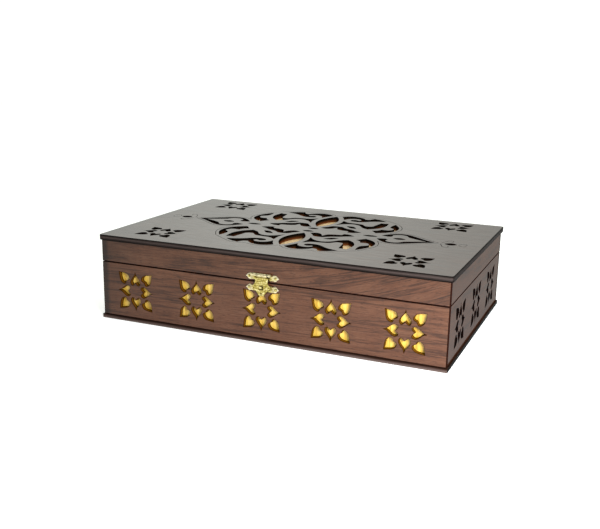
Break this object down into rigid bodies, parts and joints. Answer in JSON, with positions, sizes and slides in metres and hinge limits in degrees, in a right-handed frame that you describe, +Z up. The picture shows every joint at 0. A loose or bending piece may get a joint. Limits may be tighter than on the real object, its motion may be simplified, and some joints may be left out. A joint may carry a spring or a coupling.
{
  "type": "casket",
  "caption": "Low rectangular casket of veneered board with heart-shaped cuts in rosettes, a pierced medallion in its hinged lid, a golden lining and a small brass hasp.",
  "frame": {"origin": "bottom centre of the foot plate, on the surface that the casket stands on", "axes": "+X to the right along the front, +Y from the front to the hinges, +Z up"},
  "size_m": [0.3, 0.1997, 0.0725],
  "materials": {
    "walnut_veneer": "clear lacquer, satin",
    "gold_lining": "satin cloth on card",
    "raw_board": "bare fibreboard, matt",
    "pressed_brass": "pressed sheet, bright"
  },
  "bodies": {
    "base": {"foot_plate": "walnut_veneer", "base_front_board": "walnut_veneer", "base_back_board": "walnut_veneer", "base_left_board": "walnut_veneer", "base_right_board": "walnut_veneer", "floor_lining": "gold_lining", "front_lining": "gold_lining", "back_lining": "gold_lining", "left_lining": "gold_lining", "right_lining": "gold_lining", "hasp_catch_plate": "pressed_brass", "hasp_catch_nail_1": "pressed_brass", "hasp_catch_nail_2": "pressed_brass", "left_hinge_base_leaf": "pressed_brass", "right_hinge_base_leaf": "pressed_brass", "left_hinge_pin": "pressed_brass", "right_hinge_pin": "pressed_brass", "left_base_leaf_nail_1": "pressed_brass", "left_base_leaf_nail_2": "pressed_brass", "right_base_leaf_nail_1": "pressed_brass", "right_base_leaf_nail_2": "pressed_brass"},
    "lid": {"lid_plate": "walnut_veneer", "lid_front_rail": "walnut_veneer", "lid_back_rail": "walnut_veneer", "lid_left_rail": "walnut_veneer", "lid_right_rail": "walnut_veneer", "lid_backing": "raw_board", "hasp_hinge_plate": "pressed_brass", "hasp_pin": "pressed_brass", "hasp_hinge_nail_1": "pressed_brass", "hasp_hinge_nail_2": "pressed_brass", "left_hinge_lid_leaf": "pressed_brass", "right_hinge_lid_leaf": "pressed_brass", "left_lid_leaf_nail_1": "pressed_brass", "left_lid_leaf_nail_2": "pressed_brass", "right_lid_leaf_nail_1": "pressed_brass", "right_lid_leaf_nail_2": "pressed_brass"},
    "flap": {"hasp_flap": "pressed_brass"}
  },
  "joints": [
    {"name": "lid_hinge", "type": "hinge", "parent": "base", "child": "lid", "pos_m": [0, 0.0975, 0.04955], "axis": [-1, 0, 0], "range_deg": [0, 110]},
    {"name": "hasp_flap_hinge", "type": "hinge", "parent": "lid", "child": "flap", "pos_m": [0.001, -0.09715, 0.05555], "axis": [-1, 0, 0], "range_deg": [0, 165]}
  ]
}
